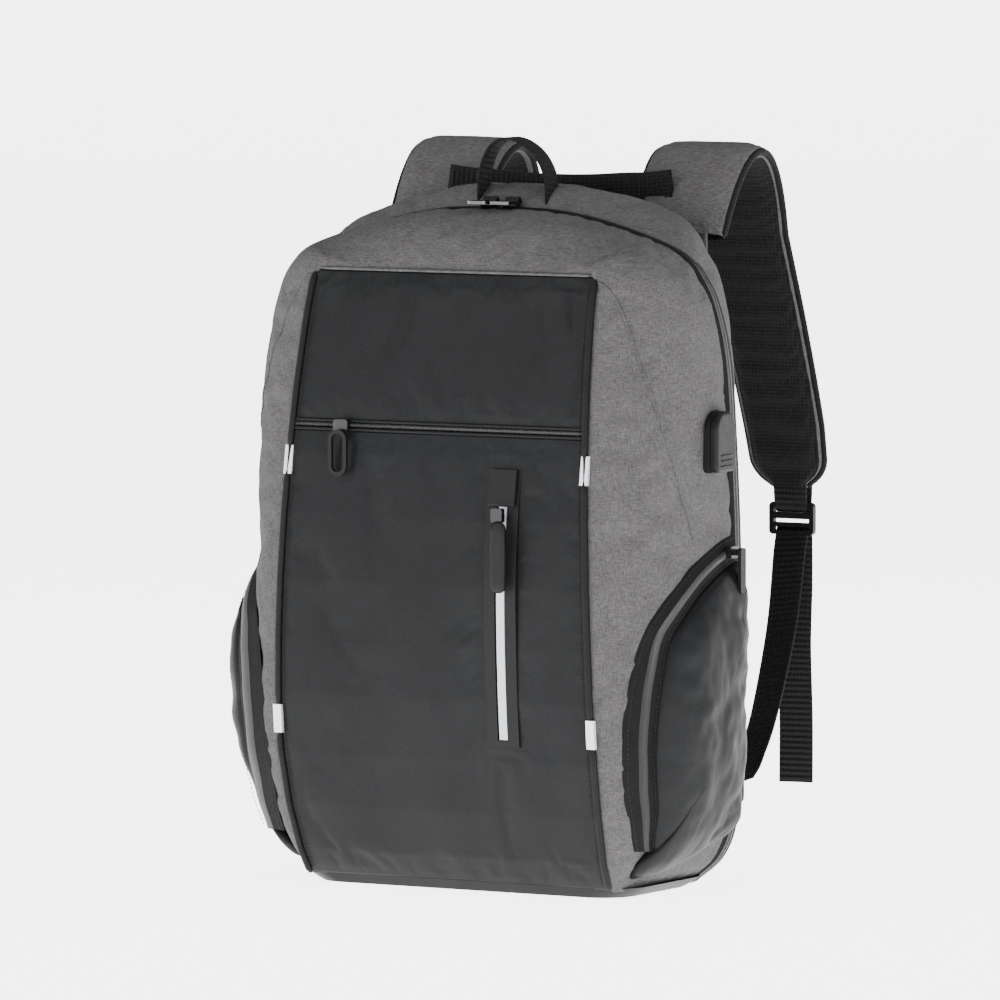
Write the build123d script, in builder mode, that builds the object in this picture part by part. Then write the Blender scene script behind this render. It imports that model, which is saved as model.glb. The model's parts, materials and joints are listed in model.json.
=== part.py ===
from build123d import *
import math
import os

# Laptop backpack. Millimetres, +Z up, the front panel faces -Y and the wearer's back is at +Y.
# The origin is the centre of the base's underside.

BODY_HEIGHT = 468.0
WALL = 4.0
BASE_RIM = 7.0
ZIP_BAND = 3.4
ZIP_GAP = 0.2
ZIP_FOOT_Y = 55.0
ZIP_LEAN = math.degrees(math.atan2(46.0, 450.0))
PANEL_TOP = 408.0
SLASH_ZIP_Z = 309.0
SLASH_ZIP_WIDTH = 6.0
PIPING_WIDTH = 3.5
PIPING_HEIGHT = 1.8
TAB_SIZE = (6.0, 19.0)
TAB_HEIGHTS = {"upper": 285.0, "lower": 112.0}
POCKET_X = 53.0
POCKET_BOTTOM, POCKET_TOP = 101.0, 287.0
WELT_WIDTH = 24.0
WELT_HEIGHT = 1.6
SLOT_WIDTH = 8.0
SIDE_ZIP_RADIUS = 113.0
SIDE_ZIP_WIDTH = 16.0
SIDE_ZIP_CENTRE = (40.0, 118.0)
# How far the side pouch draws in from its zip at each distance from the bag's middle plane
POUCH_STEPS = [(1, 120), (1, 165), (4, 171), (11, 175), (24, 176.5)]
USB_Z = 301.5
USB_SIZE = (28.0, 41.0)
BACK_PANEL_Y = 63.0
PAD_THICKNESS = 9.0
STRAP_THICKNESS = 14.0
STRAP_MESH_THICKNESS = 5.0
STRAP_HINGE_Y = 112.0
STRAP_END_X = 120.0
WEBBING_WIDTH = 25.0
WEBBING_THICKNESS = 1.6
HANG_LOOP_WIDTH = 17.0

# Horizontal stations of the stuffed body: height, half width, front, back, front radius, back radius
STATIONS = [
    (0, 118, -46, 62, 24, 24),
    (14, 136, -55, 70, 28, 30),
    (34, 149, -65, 74, 32, 38),
    (90, 157, -80, 75, 34, 44),
    (165, 162, -86, 75, 34, 46),
    (250, 165, -84, 75, 34, 46),
    (330, 165, -75, 75, 34, 46),
    (385, 160, -64, 75, 34, 44),
    (412, 150, -53, 75, 38, 40),
    (434, 124, -33, 74, 40, 34),
    (450, 95, 8, 70, 36, 24),
    (463, 58, 18, 60, 24, 16),
    (468, 28, 28, 48, 8, 8),
]

# Half width of the front panel between its two piped seams, from the base up
PANEL_EDGE = [(115, BASE_RIM), (120, 95), (118, 170), (113, 284), (107, PANEL_TOP)]

# Side view of a shoulder strap (Y, Z): up from the yoke, over the fold, down to the ladder lock
STRAP_PATH = [
    [(78, 432), (92, 462), (108, 487), (128, 487)],
    [(128, 487), (150, 487), (160, 455), (167, 420)],
    [(167, 420), (180, 360), (190, 310), (192, 258)],
]
SIDES = {"left": -1, "right": 1}
zip_plane = Plane(
    origin=(0, ZIP_FOOT_Y, 0),
    x_dir=(1, 0, 0),
    z_dir=(0, -math.cos(math.radians(ZIP_LEAN)), -math.sin(math.radians(ZIP_LEAN))),
)

os.makedirs("parts", exist_ok=True)


def save(builder, label):
    """Label a finished piece and write it to its own STEP file."""
    builder.part.label = label
    export_step(builder.part, f"parts/{label}.step")


def bag_block(inset):
    """The stuffed body as one solid, every face moved inwards by the inset."""
    with BuildPart() as block:
        for height, half, front, back, front_r, back_r in STATIONS:
            level = inset + height * (BODY_HEIGHT - 2 * inset) / BODY_HEIGHT
            w = half - inset
            f, b = front + inset, back - inset
            rf, rb = max(front_r - inset, 4), max(back_r - inset, 4)
            with BuildSketch(Plane.XY.offset(level)):
                with BuildLine():
                    Line((-w + rf, f), (w - rf, f))
                    RadiusArc((w - rf, f), (w, f + rf), -rf)
                    Line((w, f + rf), (w, b - rb))
                    RadiusArc((w, b - rb), (w - rb, b), -rb)
                    Line((w - rb, b), (-w + rb, b))
                    RadiusArc((-w + rb, b), (-w, b - rb), -rb)
                    Line((-w, b - rb), (-w, f + rf))
                    RadiusArc((-w, f + rf), (-w + rf, f), -rf)
                make_face()
        loft()
    return block.part


def zip_slab(near, far):
    """A slab parallel to the main zip, from near to far in front of its plane."""
    with BuildPart() as slab:
        with BuildSketch(zip_plane.offset(near)):
            Rectangle(600, 1400)
        extrude(amount=far - near)
    return slab.part


def front_prism(points):
    """A polygon drawn in the front view, pushed through the front half of the bag."""
    with BuildPart() as prism:
        with BuildSketch(Plane.XZ.offset(200)):
            with BuildLine():
                Polyline(*points, close=True)
            make_face()
        extrude(amount=-260)
    return prism.part


def front_box(x0, x1, z0, z1):
    """A rectangle of the front view, pushed through the front half of the bag."""
    return front_prism([(x0, z0), (x1, z0), (x1, z1), (x0, z1)])


def panel_prism(grow, z0=BASE_RIM, z1=PANEL_TOP):
    """The space behind the front panel's outline, its two seams moved outwards by grow."""
    edge = [(x + grow, z) for x, z in PANEL_EDGE]
    with BuildPart() as prism:
        with BuildSketch(Plane.XZ.offset(200)):
            with BuildLine():
                Spline(*edge)
                Line(edge[-1], (-edge[-1][0], edge[-1][1]))
                Spline(*[(-x, z) for x, z in reversed(edge)])
                Line((-edge[0][0], edge[0][1]), edge[0])
            make_face()
        extrude(amount=-170)
        with Locations((0, -115, (z0 + z1) / 2)):
            Box(400, 200, z1 - z0, mode=Mode.INTERSECT)
    return prism.part


def half_space(side):
    """Everything on one side of the middle plane."""
    with BuildPart() as half:
        with Locations((side * 200, 0, 250)):
            Box(400, 600, 700)
    return half.part


def bezier_point(p0, p1, p2, p3, t):
    """A point of a cubic curve and its unit direction."""
    u = 1 - t
    weights = (u * u * u, 3 * u * u * t, 3 * u * t * t, t * t * t)
    slopes = (-u * u, u * u - 2 * u * t, 2 * u * t - t * t, t * t)
    corners = (p0, p1, p2, p3)
    y = sum(w * p[0] for w, p in zip(weights, corners))
    z = sum(w * p[1] for w, p in zip(weights, corners))
    dy = sum(w * p[0] for w, p in zip(slopes, corners))
    dz = sum(w * p[1] for w, p in zip(slopes, corners))
    length = math.hypot(dy, dz)
    return y, z, dy / length, dz / length


def offset_points(path, offset):
    """Points along a path of cubic curves, moved to its left by an offset."""
    points = []
    for p0, p1, p2, p3 in path:
        for step in range(6):
            t = step / 6
            if step == 0 and points:
                continue
            a, b, da, db = bezier_point(p0, p1, p2, p3, t)
            points.append((a - db * offset, b + da * offset))
    a, b, da, db = bezier_point(*path[-1], 1.0)
    points.append((a - db * offset, b + da * offset))
    return points


outer = bag_block(0)
inner = bag_block(WALL)
with BuildPart() as wall:
    add(outer)
    add(inner, mode=Mode.SUBTRACT)
skin = wall.part
zip_front = zip_slab(ZIP_GAP, ZIP_BAND)
zip_rear = zip_slab(-ZIP_BAND, -ZIP_GAP)
front_side = zip_slab(ZIP_BAND, 400)
rear_side = zip_slab(-ZIP_BAND, -400)
above_base = front_box(-300, 300, BASE_RIM, 600)

# Base: black coated sheet with a low rim, reaching back to the zip line
with BuildPart() as base_panel:
    add(skin)
    add(zip_slab(ZIP_GAP, 400), mode=Mode.INTERSECT)
    with Locations((0, 0, BASE_RIM / 2)):
        Box(400, 400, BASE_RIM, mode=Mode.INTERSECT)
save(base_panel, "base_panel")

# Front panel: lower and upper pieces with the slash zip between them
slash_low = SLASH_ZIP_Z - SLASH_ZIP_WIDTH / 2
slash_high = SLASH_ZIP_Z + SLASH_ZIP_WIDTH / 2
with BuildPart() as front_lower_panel:
    add(skin)
    add(panel_prism(0, BASE_RIM, slash_low), mode=Mode.INTERSECT)
save(front_lower_panel, "front_lower_panel")

with BuildPart() as slash_zip_chain:
    add(skin)
    add(panel_prism(0, slash_low, slash_high), mode=Mode.INTERSECT)
save(slash_zip_chain, "slash_zip_chain")

with BuildPart() as front_upper_panel:
    add(skin)
    add(panel_prism(0, slash_high, PANEL_TOP), mode=Mode.INTERSECT)
save(front_upper_panel, "front_upper_panel")

# Grey gussets either side of the panel; a dart runs from the panel's top corner to the side pocket
for name, side in SIDES.items():
    wedge = [(0, 0), (0, PANEL_TOP), (107, PANEL_TOP), (162, 241), (200, 241), (200, 0)]
    with BuildPart() as gusset:
        add(skin)
        add(front_side, mode=Mode.INTERSECT)
        add(front_prism([(side * x, z) for x, z in wedge]), mode=Mode.INTERSECT)
        add(above_base, mode=Mode.INTERSECT)
        add(panel_prism(0), mode=Mode.SUBTRACT)
    save(gusset, f"gusset_{name}")

# Grey hood: the top and the sides above the darts
with BuildPart() as top_hood:
    add(skin)
    add(front_side, mode=Mode.INTERSECT)
    hood_edge = [(-107, PANEL_TOP), (107, PANEL_TOP), (162, 241), (200, 241)]
    add(front_prism(hood_edge + [(200, 600), (-200, 600), (-200, 241), (-162, 241)]), mode=Mode.INTERSECT)
save(top_hood, "top_hood")

# Piping along both panel seams, with a folded reflective tab sewn over it at two heights
with BuildPart() as piping_band:
    add(bag_block(-PIPING_HEIGHT))
    add(outer, mode=Mode.SUBTRACT)
    add(panel_prism(PIPING_WIDTH / 2), mode=Mode.INTERSECT)
    add(panel_prism(-PIPING_WIDTH / 2), mode=Mode.SUBTRACT)
tab_shell = bag_block(-PIPING_HEIGHT - 1)
for name, side in SIDES.items():
    with BuildPart() as piping:
        add(piping_band.part)
        add(half_space(side), mode=Mode.INTERSECT)
    save(piping, f"piping_{name}")
    for level, height in TAB_HEIGHTS.items():
        seam_x = side * (113 if level == "upper" else 119.6)
        half_w, half_h = TAB_SIZE[0] / 2, TAB_SIZE[1] / 2
        with BuildPart() as tab:
            add(tab_shell)
            add(outer, mode=Mode.SUBTRACT)
            add(
                front_box(seam_x - half_w, seam_x + half_w, height - half_h, height + half_h),
                mode=Mode.INTERSECT,
            )
            with Locations((0, -150, 250)):
                Box(400, 300, 500, mode=Mode.INTERSECT)
            add(piping_band.part, mode=Mode.SUBTRACT)
        save(tab, f"reflective_tab_{level}_{name}")

# Upright phone pocket: moulded welt, reflective zip chain and a rubber garage over its top
pocket_mid = (POCKET_BOTTOM + POCKET_TOP) / 2
welt_block = bag_block(-WELT_HEIGHT)
front_only = zip_slab(90, 400)
half_welt = WELT_WIDTH / 2
with BuildPart() as pocket_welt:
    add(welt_block)
    add(outer, mode=Mode.SUBTRACT)
    add(
        front_box(POCKET_X - half_welt, POCKET_X + half_welt, POCKET_BOTTOM, POCKET_TOP),
        mode=Mode.INTERSECT,
    )
    add(front_only, mode=Mode.INTERSECT)
    add(
        front_box(POCKET_X - SLOT_WIDTH / 2, POCKET_X + SLOT_WIDTH / 2, POCKET_BOTTOM + 4, POCKET_TOP - 27),
        mode=Mode.SUBTRACT,
    )
save(pocket_welt, "pocket_welt")

with BuildPart() as pocket_zip_chain:
    add(bag_block(-0.9))
    add(outer, mode=Mode.SUBTRACT)
    add(
        front_box(POCKET_X - 3, POCKET_X + 3, POCKET_BOTTOM + 4.5, POCKET_TOP - 27.5),
        mode=Mode.INTERSECT,
    )
    add(front_only, mode=Mode.INTERSECT)
save(pocket_zip_chain, "pocket_zip_chain")

with BuildPart() as zip_garage:
    add(bag_block(-4.2))
    add(welt_block, mode=Mode.SUBTRACT)
    add(front_box(POCKET_X - 10, POCKET_X + 10, POCKET_TOP - 27, POCKET_TOP - 3), mode=Mode.INTERSECT)
    add(front_only, mode=Mode.INTERSECT)
    fillet(zip_garage.edges().group_by(Axis.Y)[0], 1.2)
save(zip_garage, "zip_garage")

# Side pockets: a curved zip band laid on the gusset and a puffed pouch inside it
arc_y, arc_z = SIDE_ZIP_CENTRE
zip_inner = SIDE_ZIP_RADIUS - SIDE_ZIP_WIDTH / 2
zip_outer = SIDE_ZIP_RADIUS + SIDE_ZIP_WIDTH / 2


def on_arc(radius, degrees):
    """A point of the side view on the side pocket's zip arc."""
    angle = math.radians(degrees)
    return (arc_y + radius * math.cos(angle), arc_z + radius * math.sin(angle))


def side_outline(radius, x):
    """The side pocket's outline for one radius of its zip arc, drawn at a distance X."""
    shift = SIDE_ZIP_RADIUS - radius
    with BuildSketch(Plane.YZ.offset(x)) as outline:
        with BuildLine():
            ThreePointArc(on_arc(radius, 88), on_arc(radius, 117), on_arc(radius, 146))
            Bezier(
                on_arc(radius, 146),
                (-61 + shift, 170.5 - shift / 2),
                (-71 + shift, 112),
                (-56 + shift, 64),
            )
            Polyline(
                (-56 + shift, 64),
                (-50 + shift, 14 + shift / 2),
                (60 - shift, 40 + shift / 2),
                on_arc(radius, 88),
            )
        make_face()
    return outline.sketch


def side_solid(radius):
    """The space inside one radius of the side pocket's zip arc."""
    with BuildPart() as solid:
        add(side_outline(radius, 137))
        extrude(amount=80, dir=(1, 0, 0))
    return solid.part


with BuildPart() as zip_band:
    add(bag_block(-3))
    add(outer, mode=Mode.SUBTRACT)
    add(side_solid(zip_outer), mode=Mode.INTERSECT)
    add(side_solid(zip_inner), mode=Mode.SUBTRACT)
    add(zip_slab(ZIP_BAND + 1, 400), mode=Mode.INTERSECT)
    with Locations((0, 0, 260)):
        Box(400, 400, 400, mode=Mode.INTERSECT)
with BuildPart() as pouch_block:
    for shrink, x in POUCH_STEPS:
        add(side_outline(zip_inner - shrink, x))
    loft(ruled=True)
    add(zip_slab(ZIP_BAND + 1, 400), mode=Mode.INTERSECT)
    add(outer, mode=Mode.SUBTRACT)
for name, side in SIDES.items():
    with BuildPart() as side_zip:
        if side > 0:
            add(zip_band.part)
        else:
            add(mirror(zip_band.part, about=Plane.YZ, mode=Mode.PRIVATE))
        add(half_space(side), mode=Mode.INTERSECT)
    save(side_zip, f"side_zip_{name}")
    with BuildPart() as side_pouch:
        if side > 0:
            add(pouch_block.part)
        else:
            add(mirror(pouch_block.part, about=Plane.YZ, mode=Mode.PRIVATE))
    save(side_pouch, f"side_pouch_{name}")

# Main zip: one stringer on each half of the bag
tape_block = bag_block(-0.8)
tape_inner = bag_block(3)
for name, slab in (("front", zip_front), ("rear", zip_rear)):
    with BuildPart() as stringer:
        add(tape_block)
        add(tape_inner, mode=Mode.SUBTRACT)
        add(slab, mode=Mode.INTERSECT)
        with Locations((0, 0, BASE_RIM + 300)):
            Box(400, 400, 600, mode=Mode.INTERSECT)
    save(stringer, f"main_zip_{name}")

# Rear half: grey gusset, foam back panel and laptop sleeve
with BuildPart() as rear_gusset:
    add(skin)
    add(rear_side, mode=Mode.INTERSECT)
    with Locations((0, BACK_PANEL_Y - 100, 300)):
        Box(400, 200, 600, mode=Mode.INTERSECT)
save(rear_gusset, "rear_gusset")

with BuildPart() as back_panel:
    add(outer)
    with Locations((0, BACK_PANEL_Y + 50, 300)):
        Box(400, 100, 600, mode=Mode.INTERSECT)
save(back_panel, "back_panel")

for name, side in SIDES.items():
    with BuildPart() as back_pad:
        with Locations((side * 62, 75.3 + PAD_THICKNESS / 2, 232)):
            Box(92, PAD_THICKNESS, 320)
        fillet(back_pad.edges().filter_by(Axis.Y), 22)
        fillet(back_pad.faces().sort_by(Axis.Y)[-1].edges(), 5)
        add(outer, mode=Mode.SUBTRACT)
    save(back_pad, f"back_pad_{name}")

SLEEVE_FRONT = 52.0
with BuildPart() as laptop_sleeve:
    with Locations((0, (SLEEVE_FRONT + BACK_PANEL_Y) / 2, 200)):
        Box(266, BACK_PANEL_Y - SLEEVE_FRONT, 270)
    with Locations((0, (SLEEVE_FRONT + 3 + BACK_PANEL_Y) / 2, 204)):
        Box(258, BACK_PANEL_Y - SLEEVE_FRONT - 3, 270, mode=Mode.SUBTRACT)
save(laptop_sleeve, "laptop_sleeve")


# Shoulder straps
def strap_layer(near, far):
    """One layer of the strap between two offsets, pushed across the whole bag."""
    inside = offset_points(STRAP_PATH, near)
    outside = offset_points(STRAP_PATH, far)
    with BuildPart() as layer:
        with BuildSketch(Plane.YZ):
            with BuildLine():
                Spline(*inside)
                Line(inside[-1], outside[-1])
                Spline(*reversed(outside))
                Line(outside[0], inside[0])
            make_face()
        extrude(amount=200, both=True)
    return layer.part


def strap_outline(side):
    """The right or left strap's outline in the front view, pushed through from front to back."""
    outer_edge = [(131, 505), (129, 430), (135, 380), (144, 300), (146, 248)]
    inner_edge = [(94, 248), (86, 300), (73, 380), (60, 430), (54, 505)]
    with BuildPart() as outline:
        with BuildSketch(Plane.XZ.offset(-260)) as face:
            with BuildLine():
                Spline(*[(side * x, z) for x, z in outer_edge])
                Line((side * 146, 248), (side * 94, 248))
                Spline(*[(side * x, z) for x, z in inner_edge])
                Line((side * 54, 505), (side * 131, 505))
            make_face()
            fillet(face.vertices().group_by(Axis.Y)[0], 20)
        extrude(amount=230)
    return outline.part


half_strap = STRAP_THICKNESS / 2
mesh_face = STRAP_MESH_THICKNESS - half_strap
strap_whole = strap_layer(-half_strap, half_strap)
strap_outside = strap_layer(mesh_face, half_strap)
strap_inside = strap_layer(-half_strap, mesh_face)
for name, side in SIDES.items():
    outline = strap_outline(side)
    with BuildPart() as strap_root:
        add(strap_whole)
        add(outline, mode=Mode.INTERSECT)
        with Locations((0, STRAP_HINGE_Y - 100.2, 450)):
            Box(400, 200, 200, mode=Mode.INTERSECT)
        add(outer, mode=Mode.SUBTRACT)
    save(strap_root, f"strap_root_{name}")
    with BuildPart() as strap_pad:
        add(strap_outside)
        add(outline, mode=Mode.INTERSECT)
        with Locations((0, STRAP_HINGE_Y + 100.2, 300)):
            Box(400, 200, 600, mode=Mode.INTERSECT)
    save(strap_pad, f"strap_pad_{name}")
    with BuildPart() as strap_mesh:
        add(strap_inside)
        add(outline, mode=Mode.INTERSECT)
        with Locations((0, STRAP_HINGE_Y + 100.2, 300)):
            Box(400, 200, 600, mode=Mode.INTERSECT)
    save(strap_mesh, f"strap_mesh_{name}")

# Yoke: reinforcement across the top of the back panel, under the strap roots
with BuildPart() as strap_yoke:
    add(bag_block(-2.5))
    add(outer, mode=Mode.SUBTRACT)
    with Locations((0, 100, 422)):
        Box(270, 80, 44, mode=Mode.INTERSECT)
    add(strap_whole, mode=Mode.SUBTRACT)
save(strap_yoke, "strap_yoke")

# Carry handle: webbing from one strap root to the other, hanging slack in the middle
handle_top = [(-84, 470), (-60, 470), (-30, 462), (0, 462), (30, 462), (60, 470), (84, 470)]
with BuildPart() as carry_handle:
    with BuildSketch(Plane.XZ.offset(-86)):
        with BuildLine():
            Spline(*handle_top)
            Line(handle_top[-1], (84, 446))
            Spline(*[(x, z - 24) for x, z in reversed(handle_top)])
            Line((-84, 446), handle_top[0])
        make_face()
    extrude(amount=3)
    add(strap_whole, mode=Mode.SUBTRACT)
save(carry_handle, "carry_handle")

# Hang loop: narrow webbing standing up from the seam behind the main zip
loop_path = [
    [(-20, 468.4), (-21, 480), (-17, 497), (-4, 497)],
    [(-4, 497), (12, 497), (27, 484), (30, 468.4)],
]
loop_top = offset_points(loop_path, WEBBING_THICKNESS / 2)
loop_under = offset_points(loop_path, -WEBBING_THICKNESS / 2)
with BuildPart() as hang_loop:
    with BuildSketch(Plane.XZ.offset(-26)):
        with BuildLine():
            Spline(*loop_top)
            Line(loop_top[-1], loop_under[-1])
            Spline(*reversed(loop_under))
            Line(loop_under[0], loop_top[0])
        make_face()
    extrude(amount=HANG_LOOP_WIDTH / 2, both=True)
save(hang_loop, "hang_loop")

# Webbing and hardware under each shoulder strap
for name, side in SIDES.items():
    x = side * STRAP_END_X
    with BuildPart() as ladder_lock:
        with Locations((x, 192, 236.5)):
            Box(34, 4, 22)
        fillet(ladder_lock.edges().filter_by(Axis.Y), 3)
        with Locations((x, 192, 242), (x, 192, 235), (x, 192, 229.5)):
            Box(27, 4, 2.6, mode=Mode.SUBTRACT)
    save(ladder_lock, f"ladder_lock_{name}")

    with BuildPart() as tail_web:
        with Locations((x, 195.5, 141)):
            Box(WEBBING_WIDTH, WEBBING_THICKNESS, 168)
    save(tail_web, f"tail_web_{name}")

    top = Vector(x, 190, 223.6)
    foot = Vector(side * 140, 82, 72)
    along = (foot - top).normalized()
    across = Vector(side, 0, 0).cross(along).cross(along).normalized()
    with BuildPart() as lower_web:
        with BuildSketch(Plane(origin=top, x_dir=across, z_dir=along)):
            Rectangle(WEBBING_WIDTH, WEBBING_THICKNESS)
        extrude(amount=(foot - top).length)
    save(lower_web, f"lower_web_{name}")

    with BuildPart() as lower_anchor:
        with Locations((side * 136, 67, 66)):
            Box(26, 22, 26)
        fillet(lower_anchor.edges().filter_by(Axis.X), 4)
        add(outer, mode=Mode.SUBTRACT)
    save(lower_anchor, f"lower_anchor_{name}")

# Main zip sliders and their ring pulls: one round, one square
for name, side in SIDES.items():
    with BuildPart() as main_slider:
        with Locations(Location((side * 8.5, 5.6, 454.6), (40, 0, 0))):
            Box(10, 9, 5)
        fillet(main_slider.edges().filter_by(Axis.X), 1)
    save(main_slider, f"main_slider_{name}")

with BuildPart() as ring_pull_round:
    with Locations((-8.5, -7.9, 455.5)):
        Cylinder(8.5, 2)
        Cylinder(5.8, 2, mode=Mode.SUBTRACT)
save(ring_pull_round, "ring_pull_round")

with BuildPart() as ring_pull_square:
    with Locations((8.5, -6.9, 455.5)):
        Box(15, 15, 2)
    fillet(ring_pull_square.edges().filter_by(Axis.Z), 3)
    with Locations((8.5, -6.9, 455.5)):
        Box(10, 10, 2, mode=Mode.SUBTRACT)
save(ring_pull_square, "ring_pull_square")

# Slash zip slider and its oval loop pull
with BuildPart() as slash_slider:
    with Locations((-71.5, -82.2, SLASH_ZIP_Z)):
        Box(11, 4, 8)
    fillet(slash_slider.edges().filter_by(Axis.Y), 2)
save(slash_slider, "slash_slider")

with BuildPart() as slash_pull:
    with BuildSketch(Plane.XZ.offset(85.6)):
        with Locations((-71.5, 291)):
            SlotOverall(31, 14, rotation=90)
            SlotOverall(25.6, 8.6, rotation=90, mode=Mode.SUBTRACT)
    extrude(amount=2.8)
save(slash_pull, "slash_pull")

# Phone pocket slider and its rubber pull tab
with BuildPart() as pocket_slider:
    with Locations((POCKET_X, -91.2, 254.2)):
        Box(8.5, 4, 9.4)
    fillet(pocket_slider.edges().filter_by(Axis.Y), 1.5)
save(pocket_slider, "pocket_slider")

with BuildPart() as pocket_pull:
    with Locations((POCKET_X, -95.1, 227)):
        Box(9, 2, 46)
    fillet(pocket_pull.edges().filter_by(Axis.Y), 2)
save(pocket_pull, "pocket_pull")

# Side pocket sliders and pulls
slider_y, slider_z = on_arc(SIDE_ZIP_RADIUS, 103.8)
for name, side in SIDES.items():
    with BuildPart() as side_slider:
        with Locations((side * 171.4, slider_y, slider_z)):
            Box(4.4, 10, 8)
        with Locations((side * 175.2, slider_y, slider_z)):
            Box(3.4, 4, 4)
    save(side_slider, f"side_slider_{name}")
    with BuildPart() as side_pull:
        with Locations((side * 179, slider_y, slider_z - 12)):
            Box(2.4, 7, 30)
        fillet(side_pull.edges().filter_by(Axis.X), 2)
    save(side_pull, f"side_pull_{name}")

# USB outlet on the right: rubber housing, socket and a hinged domed cover
usb_width, usb_height = USB_SIZE
with BuildPart() as usb_housing:
    with Locations((166, 0, USB_Z)):
        Box(7, usb_width, usb_height)
    fillet(usb_housing.edges().filter_by(Axis.X).group_by(Axis.Z)[-1], 12.5)
    fillet(usb_housing.edges().filter_by(Axis.X).group_by(Axis.Z)[0], 5)
    with Locations((168, 0, USB_Z - 3)):
        Box(3.2, 16, 9, mode=Mode.SUBTRACT)
    add(outer, mode=Mode.SUBTRACT)
save(usb_housing, "usb_housing")

with BuildPart() as usb_socket:
    with Locations((167.9, 0, USB_Z - 3)):
        Box(3, 13, 5.6)
        Box(3, 12, 4.6, mode=Mode.SUBTRACT)
    with Locations((166.9, 0, USB_Z - 3)):
        Box(1, 16, 9)
    with Locations((168.4, 0, USB_Z - 2.2)):
        Box(2, 10, 1.2)
save(usb_socket, "usb_socket")

with BuildPart() as usb_cover:
    with Locations((172.4, 0, USB_Z)):
        Box(5, usb_width - 1, usb_height - 1)
    fillet(usb_cover.edges().filter_by(Axis.X).group_by(Axis.Z)[-1], 12.5)
    fillet(usb_cover.edges().filter_by(Axis.X).group_by(Axis.Z)[0], 5)
    fillet(usb_cover.faces().sort_by(Axis.X)[-1].edges(), 2.4)
save(usb_cover, "usb_cover")
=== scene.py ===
import json
import math

import bpy
import numpy as np
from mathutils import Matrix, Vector, noise
from mathutils.bvhtree import BVHTree


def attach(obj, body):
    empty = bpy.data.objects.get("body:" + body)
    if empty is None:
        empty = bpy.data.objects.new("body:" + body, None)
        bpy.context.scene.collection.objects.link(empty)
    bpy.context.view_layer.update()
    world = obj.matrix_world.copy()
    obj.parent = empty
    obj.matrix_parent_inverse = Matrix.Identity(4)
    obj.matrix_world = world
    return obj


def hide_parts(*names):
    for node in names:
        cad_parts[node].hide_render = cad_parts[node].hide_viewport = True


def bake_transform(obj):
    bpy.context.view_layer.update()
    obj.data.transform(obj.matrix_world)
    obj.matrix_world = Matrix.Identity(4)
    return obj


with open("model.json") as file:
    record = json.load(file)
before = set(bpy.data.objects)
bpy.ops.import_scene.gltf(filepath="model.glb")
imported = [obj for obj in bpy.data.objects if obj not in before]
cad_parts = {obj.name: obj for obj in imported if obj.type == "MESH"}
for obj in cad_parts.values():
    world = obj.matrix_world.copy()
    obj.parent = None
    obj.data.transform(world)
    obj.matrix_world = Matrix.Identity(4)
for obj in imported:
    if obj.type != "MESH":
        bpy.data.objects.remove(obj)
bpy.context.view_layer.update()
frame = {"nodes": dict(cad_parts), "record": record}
NODES = frame["nodes"]
MM = 0.001
SIDES = {"left": -1, "right": 1}

# Millimetres, in the frame's axes
PANEL_FOOT = 6
PANEL_TOP = 411
SLASH_Z = 309
POCKET_X = 53
TAB_Z = (285.5, 112)
WEB_WIDTH = 25
SIDE_ZIP_CENTRE = (40, 118)
SIDE_ZIP_RADIUS = 113


# ---------------------------------------------------------------- materials
def shader(name):
    """A new material, its nodes, its links and its Principled shader."""
    m = bpy.data.materials.new(name)
    m.use_nodes = True
    return m, m.node_tree.nodes, m.node_tree.links, m.node_tree.nodes["Principled BSDF"]


def ramp(nodes, stops):
    """A colour ramp with the given stops."""
    r = nodes.new("ShaderNodeValToRGB")
    r.color_ramp.elements[0].position = stops[0][0]
    r.color_ramp.elements[0].color = stops[0][1]
    r.color_ramp.elements[1].position = stops[-1][0]
    r.color_ramp.elements[1].color = stops[-1][1]
    for pos, colour in stops[1:-1]:
        e = r.color_ramp.elements.new(pos)
        e.color = colour
    return r


def grey(v, tint=1.0):
    return (v, v, v * tint, 1)


def mapped(nodes, links, scale, uv=False):
    """Object or UV coordinates, scaled."""
    c = nodes.new("ShaderNodeTexCoord")
    m = nodes.new("ShaderNodeMapping")
    m.inputs["Scale"].default_value = scale
    links.new(c.outputs["UV" if uv else "Object"], m.inputs["Vector"])
    return m.outputs["Vector"]


def noise_tex(nodes, links, vector, scale, detail=3.0, rough=0.6):
    n = nodes.new("ShaderNodeTexNoise")
    n.inputs["Scale"].default_value = scale
    n.inputs["Detail"].default_value = detail
    n.inputs["Roughness"].default_value = rough
    links.new(vector, n.inputs["Vector"])
    return n.outputs["Fac"]


def math_node(nodes, links, op, a, b):
    m = nodes.new("ShaderNodeMath")
    m.operation = op
    for i, v in enumerate((a, b)):
        if isinstance(v, (int, float)):
            m.inputs[i].default_value = v
        else:
            links.new(v, m.inputs[i])
    return m.outputs[0]


def bump(nodes, links, p, height, strength, distance):
    b = nodes.new("ShaderNodeBump")
    b.inputs["Strength"].default_value = strength
    b.inputs["Distance"].default_value = distance
    links.new(height, b.inputs["Height"])
    links.new(b.outputs["Normal"], p.inputs["Normal"])


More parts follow.
